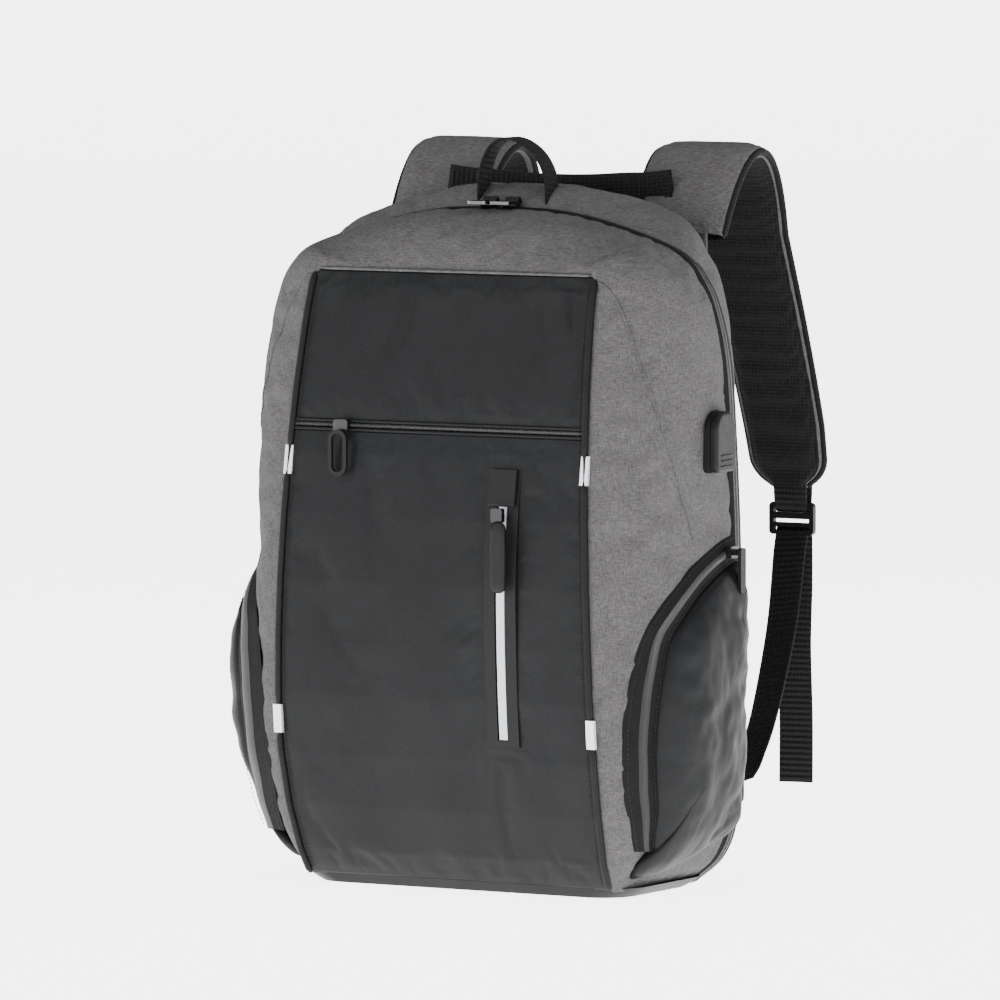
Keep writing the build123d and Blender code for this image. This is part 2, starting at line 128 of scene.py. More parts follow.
def heather():
    """Mid grey woven cloth with lighter and darker threads."""
    m, n, l, p = shader("heather_fabric")
    warp = noise_tex(n, l, mapped(n, l, (1400, 1400, 260)), 1.0, 2.0)
    weft = noise_tex(n, l, mapped(n, l, (260, 260, 1500)), 1.0, 2.0)
    patch = noise_tex(n, l, mapped(n, l, (60, 60, 60)), 1.0, 3.0)
    threads = math_node(n, l, "ADD", warp, weft)
    mixed = math_node(n, l, "MULTIPLY_ADD", threads, 0.5)
    mixed.node.inputs[2].default_value = 0.0
    shade = math_node(n, l, "MULTIPLY_ADD", patch, 0.12)
    l.new(mixed, shade.node.inputs[2])
    dark, middle, light = (0.034, 0.0325, 0.0335, 1), (0.060, 0.057, 0.059, 1), (0.094, 0.090, 0.093, 1)
    r = ramp(n, [(0.38, dark), (0.56, middle), (0.76, light)])
    l.new(shade, r.inputs["Fac"])
    l.new(r.outputs["Color"], p.inputs["Base Color"])
    p.inputs["Roughness"].default_value = 0.92
    p.inputs["Specular IOR Level"].default_value = 0.12
    bump(n, l, p, threads, 0.5, 0.0004)
    return m


def coated():
    """Black polyester with a fine weave and a faint bluish sheen."""
    m, n, l, p = shader("coated_fabric")
    w = noise_tex(n, l, mapped(n, l, (900, 900, 900)), 1.0, 2.0)
    big = noise_tex(n, l, mapped(n, l, (22, 22, 22)), 1.0, 3.0)
    r = ramp(n, [(0.3, (0.0022, 0.0024, 0.0028, 1)), (0.7, (0.0052, 0.0056, 0.0062, 1))])
    l.new(w, r.inputs["Fac"])
    l.new(r.outputs["Color"], p.inputs["Base Color"])
    rr = ramp(n, [(0.3, grey(0.42)), (0.7, grey(0.56))])
    l.new(big, rr.inputs["Fac"])
    l.new(rr.outputs["Color"], p.inputs["Roughness"])
    p.inputs["Specular IOR Level"].default_value = 0.13
    bump(n, l, p, w, 0.35, 0.0003)
    return m


def plain(name, colour, rough, metal=0.0, fine=0.0, coat=0.0):
    """A plain material with slight uneven wear in its roughness."""
    m, n, l, p = shader(name)
    p.inputs["Base Color"].default_value = (*colour, 1)
    p.inputs["Metallic"].default_value = metal
    p.inputs["Coat Weight"].default_value = coat
    if rough > 0.3:
        p.inputs["Specular IOR Level"].default_value = 0.14
    w = noise_tex(n, l, mapped(n, l, (300, 300, 300)), 1.0, 2.0)
    r = ramp(n, [(0.3, grey(max(rough - 0.05, 0.02))), (0.7, grey(min(rough + 0.05, 1)))])
    l.new(w, r.inputs["Fac"])
    l.new(r.outputs["Color"], p.inputs["Roughness"])
    if fine:
        bump(n, l, p, noise_tex(n, l, mapped(n, l, (1500, 1500, 1500)), 1.0, 2.0), fine, 0.0003)
    return m


def ribbed(name, v, along=260.0, across=3.0):
    """Woven webbing: a rib across the band, and rows along it, with painted shade in the grooves and painted
    highlight on the crests. UV is in metres.
    """
    m, n, l, p = shader(name)
    c = n.new("ShaderNodeTexCoord")
    s = n.new("ShaderNodeSeparateXYZ")
    l.new(c.outputs["UV"], s.inputs[0])
    rib = math_node(n, l, "SINE", math_node(n, l, "MULTIPLY", s.outputs["Y"], along * 2 * math.pi), 0.0)
    row = math_node(n, l, "SINE", math_node(n, l, "MULTIPLY", s.outputs["X"], 420 * 2 * math.pi), 0.0)
    h = math_node(n, l, "ADD", rib, math_node(n, l, "MULTIPLY", row, 0.5))
    # colour follows the rib height: painted shade in the grooves, painted highlight on the crests
    r = ramp(n, [(0.0, grey(v * 0.55)), (1.0, grey(v * 1.7))])
    l.new(math_node(n, l, "MULTIPLY_ADD", h, 0.25), r.inputs["Fac"])
    r.inputs["Fac"].links[0].from_node.inputs[2].default_value = 0.5
    l.new(r.outputs["Color"], p.inputs["Base Color"])
    p.inputs["Roughness"].default_value = 0.72
    p.inputs["Specular IOR Level"].default_value = 0.12
    bump(n, l, p, h, 0.6, 0.0005)
    return m


def mesh_cloth():
    """Black spacer mesh: a lattice of small holes, darkened with painted shade."""
    m, n, l, p = shader("mesh_fabric")
    v = n.new("ShaderNodeTexVoronoi")
    v.inputs["Scale"].default_value = 420
    v.inputs["Randomness"].default_value = 0.25
    l.new(mapped(n, l, (1, 1, 1)), v.inputs["Vector"])
    # the hole centres are painted darkest: painted shade in the holes
    r = ramp(n, [(0.18, grey(0.001)), (0.42, grey(0.006)), (0.8, grey(0.010))])
    l.new(v.outputs["Distance"], r.inputs["Fac"])
    l.new(r.outputs["Color"], p.inputs["Base Color"])
    p.inputs["Roughness"].default_value = 0.88
    p.inputs["Specular IOR Level"].default_value = 0.15
    bump(n, l, p, v.outputs["Distance"], 0.8, 0.0008)
    return m


def coil(name, v=0.005, pitch=1.25):
    """Nylon zip coil over tape, with painted highlight on the teeth and painted shade between them. UV runs
    along the zip in Y, in metres.
    """
    m, n, l, p = shader(name)
    c = n.new("ShaderNodeTexCoord")
    s = n.new("ShaderNodeSeparateXYZ")
    l.new(c.outputs["UV"], s.inputs[0])
    tooth = math_node(n, l, "SINE", math_node(n, l, "MULTIPLY", s.outputs["Y"], 2000 * math.pi / pitch), 0.0)
    # painted highlight on the tops of the teeth and painted shade between them, following the tooth height
    r = ramp(n, [(0.0, grey(v * 0.4)), (1.0, grey(v * 3.0))])
    tooth_light_and_shade = math_node(n, l, "MULTIPLY_ADD", tooth, 0.5)
    tooth_light_and_shade.node.inputs[2].default_value = 0.5
    l.new(tooth_light_and_shade, r.inputs["Fac"])
    l.new(r.outputs["Color"], p.inputs["Base Color"])
    p.inputs["Roughness"].default_value = 0.38
    bump(n, l, p, tooth, 0.8, 0.0006)
    return m


MAT = {
    "heather_fabric": heather(),
    "coated_fabric": coated(),
    "piping": plain("piping", (0.004, 0.004, 0.0045), 0.6, fine=0.6),
    "reflective": plain("reflective", (0.62, 0.64, 0.66), 0.34, metal=0.35, fine=0.3),
    "zip_tape": plain("zip_tape", (0.003, 0.003, 0.0033), 0.8, fine=0.7),
    "zip_coil": coil("zip_coil"),
    "reflective_zip": plain("reflective_zip", (0.42, 0.44, 0.47), 0.36, metal=0.4),
    "moulded_rubber": plain("moulded_rubber", (0.005, 0.005, 0.0055), 0.5, fine=0.15),
    "polished_metal": plain("polished_metal", (0.07, 0.07, 0.075), 0.14, metal=1.0),
    "dark_metal": plain("dark_metal", (0.03, 0.03, 0.032), 0.28, metal=0.9),
    "bright_metal": plain("bright_metal", (0.62, 0.62, 0.62), 0.25, metal=1.0),
    "mesh_fabric": mesh_cloth(),
    "lining": plain("lining", (0.05, 0.053, 0.058), 0.85, fine=0.5),
    "webbing": ribbed("webbing", 0.0045),
    "buckle_plastic": plain("buckle_plastic", (0.006, 0.006, 0.006), 0.4),
    "binding": ribbed("binding", 0.004, 500),
    "thread": plain("thread", (0.012, 0.012, 0.013), 0.7),
    "grey_thread": plain("grey_thread", (0.09, 0.092, 0.097), 0.8),
}
SLOT_OF = {s["node"]: s["material_slot"] for s in frame["record"]["subparts"]}
for node_name, node in NODES.items():
    node.data.materials.clear()
    node.data.materials.append(MAT[SLOT_OF[node_name]])


# ---------------------------------------------------------------- mesh helpers
def build(name, verts, faces, material, uvs=None, smooth=True):
    """A mesh from points in millimetres."""
    me = bpy.data.meshes.new(name)
    me.from_pydata([tuple(p) for p in np.asarray(verts, float) * MM], [], faces)
    if uvs is not None:
        layer = me.uv_layers.new(name="UVMap")
        loops = np.zeros(len(me.loops), int)
        me.loops.foreach_get("vertex_index", loops)
        layer.data.foreach_set("uv", (np.asarray(uvs, float)[loops] * MM).ravel())
    me.update()
    if smooth:
        me.shade_smooth()
    o = bpy.data.objects.new(name, me)
    bpy.context.collection.objects.link(o)
    me.materials.append(MAT[material])
    return o


def grid(name, p, material, wrap_v=False, flip=False, uvs=None):
    """A mesh from a grid of points [u][v]. UV holds the arc lengths across (X) and along (Y)."""
    p = np.asarray(p, float)
    nu, nv = p.shape[:2]
    if uvs is None:
        along = np.vstack([np.zeros((1, nv)), np.cumsum(np.linalg.norm(np.diff(p, axis=0), axis=2), axis=0)])
        across = np.hstack([np.zeros((nu, 1)), np.cumsum(np.linalg.norm(np.diff(p, axis=1), axis=2), axis=1)])
        uvs = np.stack([across, along], axis=2)
    faces = []
    for i in range(nu - 1):
        for j in range(nv if wrap_v else nv - 1):
            k = (j + 1) % nv
            f = (i * nv + j, i * nv + k, (i + 1) * nv + k, (i + 1) * nv + j)
            faces.append(f[::-1] if flip else f)
    return build(name, p.reshape(-1, 3), faces, material, uvs.reshape(-1, 2))


def grid_polygons(p):
    """The corners and faces of a grid of points, for finding where it lies."""
    nu, nv = p.shape[:2]
    faces = []
    for i in range(nu - 1):
        for k in range(i * nv, i * nv + nv - 1):
            faces.append((k, k + 1, k + nv + 1, k + nv))
    return [Vector(q) for q in p.reshape(-1, 3)], faces


def solid(o, thickness, offset=-1.0):
    """Gives a sheet its thickness, in millimetres, and applies it."""
    m = o.modifiers.new("thick", "SOLIDIFY")
    m.thickness = thickness * MM
    m.offset = offset
    apply(o)
    return o


def apply(o):
    """Applies every modifier of a mesh."""
    dep = bpy.context.evaluated_depsgraph_get()
    me = bpy.data.meshes.new_from_object(o.evaluated_get(dep))
    o.modifiers.clear()
    o.data = me
    return o


def place(o, body, slot_name, *stands_for):
    """Puts a finished piece on its body and hides the CAD nodes that it stands for. Its slot name is not
    used.
    """
    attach(o, body)
    if stands_for:
        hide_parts(*stands_for)
    return o


def catmull(a, b, c, d, t):
    """The point at fraction t from b to c on a Catmull-Rom curve."""
    return 0.5 * (2 * b + (c - a) * t + (2 * a - 5 * b + 4 * c - d) * t**2 + (3 * b - a - 3 * c + d) * t**3)


def bezier(a, b, c, d, t):
    """The point at fraction t of a cubic curve."""
    a, b, c, d = (np.asarray(k, float) for k in (a, b, c, d))
    return a * (1 - t) ** 3 + 3 * b * (1 - t) ** 2 * t + 3 * c * (1 - t) * t**2 + d * t**3


def smooth_path(points, n):
    """n points on a Catmull-Rom curve through the given points, evenly spaced along it."""
    p = np.asarray(points, float)
    q = np.vstack([2 * p[0] - p[1], p, 2 * p[-1] - p[-2]])
    out = []
    for i in range(1, len(q) - 2):
        for t in np.linspace(0, 1, 24, endpoint=False):
            out.append(catmull(q[i - 1], q[i], q[i + 1], q[i + 2], t))
    out.append(p[-1])
    out = np.array(out)
    s = np.concatenate([[0], np.cumsum(np.linalg.norm(np.diff(out, axis=0), axis=1))])
    at = np.linspace(0, s[-1], n)
    return np.stack([np.interp(at, s, out[:, k]) for k in range(out.shape[1])], axis=1)


def tube(name, path, radius, material, sides=10, caps=True):
    """A round cord along a path."""
    p = np.asarray(path, float)
    radius = np.broadcast_to(radius, len(p))
    t = np.gradient(p, axis=0)
    t /= np.linalg.norm(t, axis=1)[:, None]
    ref = np.array([0.0, 0.0, 1.0]) if abs(t[0][2]) < 0.9 else np.array([1.0, 0.0, 0.0])
    u = np.cross(t[0], ref)
    u /= np.linalg.norm(u)
    rings = []
    for i in range(len(p)):
        u = u - t[i] * (u @ t[i])
        u /= np.linalg.norm(u)
        w = np.cross(t[i], u)
        a = np.linspace(0, 2 * math.pi, sides, endpoint=False)
        r = radius[i] * (0.35 if caps and i in (0, len(p) - 1) else 1.0)
        rings.append(p[i] + r * (np.cos(a)[:, None] * u + np.sin(a)[:, None] * w))
    return grid(name, rings, material, wrap_v=True)


def ribbon(name, path, across, width, thickness, material, n=60):
    """A flat band along a path; across gives its width direction at the start and the end."""
    p = smooth_path(path, n)
    t = np.gradient(p, axis=0)
    t /= np.linalg.norm(t, axis=1)[:, None]
    a0, a1 = (np.asarray(a, float) for a in across)
    w = np.linspace(0, 1, n)[:, None]
    side = a0 * (1 - w) + a1 * w
    side -= t * np.sum(side * t, axis=1)[:, None]
    side /= np.linalg.norm(side, axis=1)[:, None]
    up = np.cross(side, t)
    h, e = width / 2, thickness / 2
    left = [(-h, -e * 0.3), (-h + e * 0.5, -e), (-h * 0.5, -e)]
    under = left + [(0, -e)] + [(-a, b) for a, b in left[::-1]]
    prof = under + [(a, -b) for a, b in under[::-1]]
    rings = np.stack([p + side * a + up * b for a, b in prof], axis=1)
    s = np.concatenate([[0], np.cumsum(np.linalg.norm(np.diff(p, axis=0), axis=1))])
    uv = np.stack([np.tile([a for a, _ in prof], (n, 1)), np.tile(s[:, None], (1, len(prof)))], axis=2)
    o = grid(name, rings, material, wrap_v=True, uvs=uv)
    k = len(prof)
    verts = [tuple(v.co / MM) for v in o.data.vertices]
    faces = [tuple(f.vertices) for f in o.data.polygons]
    faces += [tuple(range(k - 1, -1, -1)), tuple(range((n - 1) * k, n * k))]
    bpy.data.objects.remove(o)
    return build(name, verts, faces, material, uv.reshape(-1, 2))


def stitches(name, path, body, slot_name, material="thread", pitch=3.2, radius=0.35):
    """A row of short raised stitches along a path that lies on a surface."""
    p = np.asarray(path, float)
    s = np.concatenate([[0], np.cumsum(np.linalg.norm(np.diff(p, axis=0), axis=1))])
    count = max(int(s[-1] / pitch), 1)
    verts, faces = [], []
    for i in range(count):
        a, b = (np.array([np.interp((i + f) * pitch, s, p[:, k]) for k in range(3)]) for f in (0.12, 0.82))
        d = b - a
        d /= np.linalg.norm(d) + 1e-9
        u = np.cross(d, (0, 0, 1)) if abs(d[2]) < 0.9 else np.cross(d, (1, 0, 0))
        u /= np.linalg.norm(u)
        w = np.cross(d, u)
        base = len(verts)
        for q, r in ((a, 0.4), (a * 0.75 + b * 0.25, 1.0), (a * 0.25 + b * 0.75, 1.0), (b, 0.4)):
            for k in range(5):
                ang = 2 * math.pi * k / 5
                verts.append(q + radius * r * (math.cos(ang) * u + math.sin(ang) * w))
        for ring in range(3):
            for k in range(5):
                m = (k + 1) % 5
                low = base + ring * 5
                faces.append((low + k, low + m, low + 5 + m, low + 5 + k))
    return place(build(name, verts, faces, material), body, slot_name)


# ---------------------------------------------------------------- the bag's shape
# (Z, Y) of the front panel's middle line and (Z, X) of its right edge
FRONT_Y = [
    (0, -46), (12, -54), (24, -61), (55, -72), (90, -80), (130, -84.6), (165, -86), (205, -86),
    (250, -84), (290, -80.3), (330, -75), (360, -69.5), (385, -64), (400, -59.5), (412, -54),
]
EDGE_X = [(7, 115), (50, 118.3), (95, 120), (170, 118), (230, 115.6), (284, 113), (345, 110), (408, 107)]


def front_y(z):
    """The front panel's depth at a height."""
    return np.interp(z, [a for a, _ in FRONT_Y], [b for _, b in FRONT_Y])


def edge_x(z):
    """Half the front panel's width at a height."""
    return np.interp(z, [a for a, _ in EDGE_X], [b for _, b in EDGE_X])


def zip_y(z):
    """Depth of the main zip's plane at a height."""
    return 55 - 46.0 / 450.0 * np.asarray(z, float)


# Matching points round the right half: panel edge, main zip and back panel edge, each (X, Z)
ROUND = [
    ((115, 5), (118, 3), (100, 4)),
    ((116.5, 26), (140, 21), (116, 22)),
    ((118.3, 55), (152, 48), (124, 48)),
    ((120, 95), (157.5, 95), (128, 95)),
    ((118, 170), (162, 170), (131, 170)),
    ((115.3, 240), (164.5, 245), (132, 245)),
    ((112.5, 300), (165, 310), (132, 310)),
    ((110, 355), (164, 352), (131, 350)),
    ((107.3, 395), (159.5, 382), (128, 385)),
    ((103, 407), (151, 405), (118, 412)),
    ((94, 410), (134, 424), (100, 430)),
    ((70, 410.5), (90, 440), (72, 439)),
    ((35, 411), (45, 449), (36, 445)),
]
TOP = ((0, 411), (0, 450.5), (0, 446))


def round_curve(k, n):
    """n points (X, Z) of one of the three matching curves, from bottom left over the top to bottom right."""
    right = [r[k] for r in ROUND]
    keys = [(-x, z) for x, z in right] + [TOP[k]] + right[::-1]
    p = np.asarray(keys, float)
    q = np.vstack([2 * p[0] - p[1], p, 2 * p[-1] - p[-2]])
    out = []
    for u in np.linspace(0, len(p) - 1, n):
        i = min(int(u), len(p) - 2)
        t = u - i
        out.append(catmull(q[i], q[i + 1], q[i + 2], q[i + 3], t))
    return np.array(out)


def outward(curve):
    """Unit normals of a plane curve (X, Z), away from the bag's middle."""
    t = np.gradient(curve, axis=0)
    n = np.stack([-t[:, 1], t[:, 0]], axis=1)
    return n / np.linalg.norm(n, axis=1)[:, None]


def cubic(p0, p1, p2, p3, v):
    v = v[None, :, None]
    p0, p1, p2, p3 = (np.asarray(p)[:, None, :] for p in (p0, p1, p2, p3))
    return p0 * (1 - v) ** 3 + 3 * p1 * (1 - v) ** 2 * v + 3 * p2 * (1 - v) * v**2 + p3 * v**3


def xyz(curve, y):
    return np.stack([curve[:, 0], y, curve[:, 1]], axis=1)


NT = 361
curve_a, curve_b, curve_c = (round_curve(k, NT) for k in range(3))
out_a, out_b, out_c = outward(curve_a), outward(curve_b), outward(curve_c)
for o_ in (out_a, out_b, out_c):
    for _ in range(6):
        o_[1:-1] = (o_[:-2] + o_[1:-1] * 2 + o_[2:]) / 4
    o_ /= np.linalg.norm(o_, axis=1)[:, None]
edge_a = xyz(curve_a, front_y(curve_a[:, 1]))
edge_b = xyz(curve_b, zip_y(curve_b[:, 1]))
edge_c = xyz(curve_c, np.full(NT, 74.0) - 4 * np.clip((curve_c[:, 1] - 400) / 46, 0, 1))
topness = np.clip(out_b[:, 1], 0, 1) ** 1.5


def front_band(v):
    """Points of the gusset from the panel edge (v=0) to the main zip (v=1)."""
    span = np.linalg.norm(curve_b - curve_a, axis=1)
    lift = np.stack([out_a[:, 0], 0.12 + 0 * span, out_a[:, 1]], axis=1)
    h1 = np.clip(span * 0.85, 12, 40)[:, None] * (1 - 0.35 * topness[:, None])
    h2 = (edge_b[:, 1] - edge_a[:, 1])[:, None] * 0.5
    return cubic(edge_a, edge_a + lift * h1, edge_b + np.array([0, -1.0, 0.05]) * h2, edge_b, v)


def rear_band(v):
    """Points of the rear gusset from the main zip (v=0) to the back panel edge (v=1)."""
    up = np.stack([out_b[:, 0] * 0.1, 0 * topness, out_b[:, 1]], axis=1)
    p1 = edge_b + np.array([0, 1.0, 0]) * (8 + 4 * (1 - topness))[:, None] + up * (20 * topness)[:, None]
    p1[:, 0] -= np.sign(edge_b[:, 0]) * 4 * (1 - topness)
    reach = np.stack([out_c[:, 0], -0.15 - 0.45 * (1 - topness), out_c[:, 1]], axis=1)
    return cubic(edge_b, p1, edge_c + reach * (14 + 14 * topness)[:, None], edge_c, v)


def normals_of(p):
    """Unit normals of a grid of points."""
    a, b = np.gradient(p, axis=0), np.gradient(p, axis=1)
    n = np.cross(a, b)
    return n / (np.linalg.norm(n, axis=2)[..., None] + 1e-9)


def ripples(p, scale, seed, octaves=3):
    """Soft noise from -1 to 1 at each point of a grid, wavelength in millimetres."""
    s = 1.0 / scale
    flat = p.reshape(-1, 3)
    v = [noise.fractal(Vector((q[0] * s + seed, q[1] * s, q[2] * s)), 1.0, 2.0, octaves) for q in flat]
    return np.array(v).reshape(p.shape[:-1])


def settle(o, pins, grow, pressure, reach, frames=14, stiff=6.0, bend=0.6):
    """Cloth simulation of a sewn panel, cut slightly larger than its seams and filled from inside.

    It is held at the pinned points, and the filling stops it moving further than its reach, in millimetres.
    """
    start = np.array([v.co[:] for v in o.data.vertices])
    g = o.vertex_groups.new(name="pins")
    for i, w in enumerate(np.asarray(pins, float).ravel()):
        if w > 0:
            g.add([i], float(min(w, 1)), "REPLACE")
    m = o.modifiers.new("cloth", "CLOTH")
    c = m.settings
    c.quality = 5
    c.mass = 0.05
    c.tension_stiffness = c.compression_stiffness = stiff
    c.shear_stiffness = stiff * 0.6
    c.bending_stiffness = bend
    c.tension_damping = c.compression_damping = c.shear_damping = 12
    c.air_damping = 3
    c.vertex_group_mass = "pins"
    c.pin_stiffness = 1.0
    c.shrink_min = -grow
    c.use_pressure = True
    c.uniform_pressure_force = pressure
    c.effector_weights.gravity = 0.01
    m.collision_settings.use_collision = False
    m.collision_settings.use_self_collision = False
    m.point_cache.frame_start = 1
    m.point_cache.frame_end = frames + 2
    sc = bpy.context.scene
    for f in range(1, frames + 1):
        sc.frame_set(f)
    apply(o)
    sc.frame_set(1)
    moved = np.array([v.co[:] for v in o.data.vertices]) - start
    far = np.linalg.norm(moved, axis=1)[:, None] / MM
    moved *= np.tanh(far / reach) * reach / np.maximum(far, 1e-6)
    o.data.vertices.foreach_set("co", (start + moved).ravel())
    o.data.update()


def points_of(o, shape):
    """A grid mesh's points in millimetres, as a grid again."""
    return np.array([v.co[:] for v in o.data.vertices]).reshape(shape) / MM


def facing_out(n, p, depth):
    """Which way each normal must turn to leave the bag's middle line, at the given depth in front of Y=0."""
    return np.sign(np.sum(n * np.stack([p[..., 0], p[..., 1] * 0 - depth, p[..., 2] - 200], axis=2), axis=2))


# ---------------------------------------------------------------- front half: gussets and hood
def gusset_pieces():
    v = np.linspace(0, 1, 47)
    p = front_band(v)
    n = normals_of(p)
    n *= np.sign(np.sum(facing_out(n, p, 30)))
    fade = np.sin(np.pi * np.clip(v, 0, 1)) ** 0.7
    rise = ripples(p, 70, 3.1) * 1.1 + ripples(p, 18, 7.7, 2) * 0.15
    p = p + n * (rise * fade)[..., None]
    seam = np.exp(-(v / 0.03) ** 2) + np.exp(-((1 - v) / 0.03) ** 2)
    p = p - n * (seam * 1.2)[None, :, None]
    o = grid("gusset_front", p, "heather_fabric", flip=True)
    pins = np.zeros(p.shape[:2])
    pins[:, :2] = 1
    pins[:, -2:] = 1
    pins[:2] = 1
    pins[-2:] = 1
    settle(o, pins, 0.01, 1.2, 3.0, 16)
    p = points_of(o, p.shape)
    n = normals_of(p)
    n *= facing_out(n, p, 30)[..., None]
    solid(o, 1.4)
    place(o, "bag", "heather_fabric", "top_hood", "gusset_left", "gusset_right")
    return p, n


band_pts, band_nrm = gusset_pieces()


def on_band(t, v, lift=0.0):
    """A point of the front gusset at fractions t (round the bag) and v (panel to zip)."""
    i, j = t * (band_pts.shape[0] - 1), v * (band_pts.shape[1] - 1)
    i0, j0 = int(min(i, band_pts.shape[0] - 2)), int(min(j, band_pts.shape[1] - 2))
    a, b = i - i0, j - j0
    q = (band_pts[i0, j0] * (1 - a) * (1 - b) + band_pts[i0 + 1, j0] * a * (1 - b)
         + band_pts[i0, j0 + 1] * (1 - a) * b + band_pts[i0 + 1, j0 + 1] * a * b)
    return q + band_nrm[i0, j0] * lift


# darts: a stitched seam from each top corner of the panel back to the side pocket
for name, sgn in SIDES.items():
    t0, t1 = (0.654, 0.812) if sgn > 0 else (0.346, 0.188)
    line = [on_band(t0 + (t1 - t0) * f, 0.67 * f**1.05, 0.2) for f in np.linspace(0.02, 1, 60)]
    place(tube(f"dart_seam_{name}", line, 0.7, "heather_fabric", 8), "bag", "heather_fabric")


# ---------------------------------------------------------------- front panel
def panel(name, z0, z1, nz, seed, node, slack):
    """One coated panel of the front face between two heights, calm round the phone pocket."""
    zs = np.linspace(z0, z1, nz)
    us = np.linspace(-1, 1, 121)
    x = us[None, :] * (edge_x(zs)[:, None] - 0.5)
    y = front_y(zs)[:, None] + 0 * x
    p = np.stack([x, y, zs[:, None] + 0 * x], axis=2)
    puff = (1 - us**2)[None, :] ** 0.6 * np.sin(np.pi * np.linspace(0, 1, nz))[:, None] ** 0.5
    r = ripples(p, 90, seed) * 1.0 + ripples(p, 30, seed + 5, 2) * 0.16
    beside = np.clip((1 - np.abs(us)) * 9, 0, 1)
    above = np.clip(np.minimum(zs - z0, z1 - zs) / 8, 0.1, 1)
    edge = beside[None, :] * above[:, None]
    calm = 1 - np.exp(-(((p[..., 0] - POCKET_X) / 22) ** 4)) * ((zs > 95) & (zs < 295))[:, None] * 0.85
    p[..., 1] -= (puff * 0.5 + r * edge * calm) * 0.8
    o = grid(name, p, "coated_fabric")
    pins = np.zeros(p.shape[:2])
    pins[:2] = pins[-2:] = 1
    pins[:, :2] = pins[:, -2:] = 1
    pins[(np.abs(p[..., 0] - POCKET_X) < 14) & (p[..., 2] > 98) & (p[..., 2] < 290)] = 1
    settle(o, pins, slack, 0.8, 0.7, 12)
    solid(o, 1.2)
    return place(o, "bag", "coated_fabric", node)


panel("panel_lower", PANEL_FOOT, 306, 150, 11.0, "front_lower_panel", 0.004)
panel("panel_upper", 311.5, PANEL_TOP, 60, 19.0, "front_upper_panel", 0.005)


def front_line(z0, z1, x_of, n, lift):
    """A line down the front panel, lifted off its surface."""
    zs = np.linspace(z0, z1, n)
    return np.stack([x_of(zs), front_y(zs) - lift, zs], axis=1)


for name, sgn in SIDES.items():
    seam = front_line(PANEL_FOOT, 409, lambda z: sgn * edge_x(z), 140, 0.6)
    under_tab = sum(np.exp(-(((seam[:, 2] - z) / 11) ** 6)) for z in TAB_Z)
    cord = tube(f"piping_cord_{name}", seam, 2.3 - 1.5 * under_tab, "piping", 12)
    place(cord, "bag", "piping", f"piping_{name}")
    inner = front_line(9, 406, lambda z: sgn * (edge_x(z) - 4.2), 200, 1.6)
    stitches(f"panel_stitch_{name}", inner, "bag", "piping", pitch=3.4, radius=0.28)

top_x = np.linspace(-103, 103, 90)
top_line = np.stack([top_x, 0 * top_x + front_y(PANEL_TOP) - 0.8, 0 * top_x + PANEL_TOP + 0.5], axis=1)
place(tube("panel_top_seam", top_line, 1.0, "heather_fabric"), "bag", "heather_fabric")

# slash zip: coil bedded between two tape lips
xs = np.linspace(-110, 110, 200)
for k, (z, lift, w) in enumerate(((306.2, 0.9, 1.1), (311.9, 0.5, 1.1))):
    line = np.stack([xs, front_y(z) - lift + 0 * xs, z + 0 * xs], axis=1)
    place(tube(f"slash_lip_{k}", line, w, "coated_fabric", 10), "bag", "coated_fabric")
rows = []
for z, y in ((306.2, 1.2), (307.4, -0.2), (308.2, -1.0), (309.8, -1.0), (310.6, -0.2), (311.8, 1.2)):
    rows.append(np.stack([xs, front_y(SLASH_Z) + y + 0 * xs, z + 0 * xs], axis=1))
rows = np.stack(rows, axis=1)
place(grid("slash_coil", rows, "zip_coil"), "bag", "zip_tape", "slash_zip_chain")

# ---------------------------------------------------------------- main zip, as two halves
def zip_half(name, sgn, body, node):
    """One stringer of the main zip: folded tape and a row of coil, on one side of its plane."""
    b = edge_b
    n3 = np.stack([out_b[:, 0], 0 * topness, out_b[:, 1]], axis=1)
    d = np.array([0, float(sgn), -0.1 * sgn])
    rings = []
    for across, up in ((0.25, 0.3), (0.5, 1.2), (1.4, 1.5), (2.6, 1.2), (3.0, 0.7), (6.5, 0.6), (7.2, -0.4)):
        rings.append(b + d * across + n3 * up)
    o = grid(name, np.stack(rings, axis=1), "zip_coil", flip=sgn > 0)
    o.data.materials.append(MAT["zip_tape"])
    for f in o.data.polygons:
        if f.index % (len(rings) - 1) >= 3:
            f.material_index = 1
    return place(o, body, "zip_tape", node)


zip_half("main_zip_half_front", -1, "bag", "main_zip_front")
zip_half("main_zip_half_rear", 1, "back_half", "main_zip_rear")

# ---------------------------------------------------------------- rear half
def rear_pieces():
    v = np.linspace(0, 1, 31)
    p = rear_band(v)
    n = normals_of(p)
    n *= np.sign(np.sum(facing_out(n, p, 0)))
    fade = np.sin(np.pi * v) ** 0.7
    rise = ripples(p, 45, 23.0) * 1.5 + ripples(p, 15, 29.0, 2) * 0.3
    p = p + n * (rise * fade)[..., None]
    o = grid("gusset_rear", p, "heather_fabric", flip=True)
    pins = np.zeros(p.shape[:2])
    pins[:, :2] = pins[:, -2:] = 1
    pins[:2] = pins[-2:] = 1
    settle(o, pins, 0.01, 1.0, 2.5, 12)
    solid(o, 1.4)
    place(o, "back_half", "heather_fabric", "rear_gusset")
    c = edge_c
    half = NT // 2
    left, right = c[: half + 1], c[NT - 1 - half:][::-1]
    w = np.linspace(0, 1, 61)[None, :, None]
    q = left[:, None, :] * (1 - w) + right[:, None, :] * w
    q[..., 1] += 1.0 + ripples(q, 60, 31.0) * 0.8
    back = grid("back_panel_cloth", q, "mesh_fabric")
    solid(back, 2.0)
    place(back, "back_half", "mesh_fabric", "back_panel")


rear_pieces()
rim = [edge_c[i] + np.array([0, 0.8, 0]) for i in range(0, NT, 3)]
place(tube("back_panel_piping", rim, 2.0, "piping", 10), "back_half", "piping")


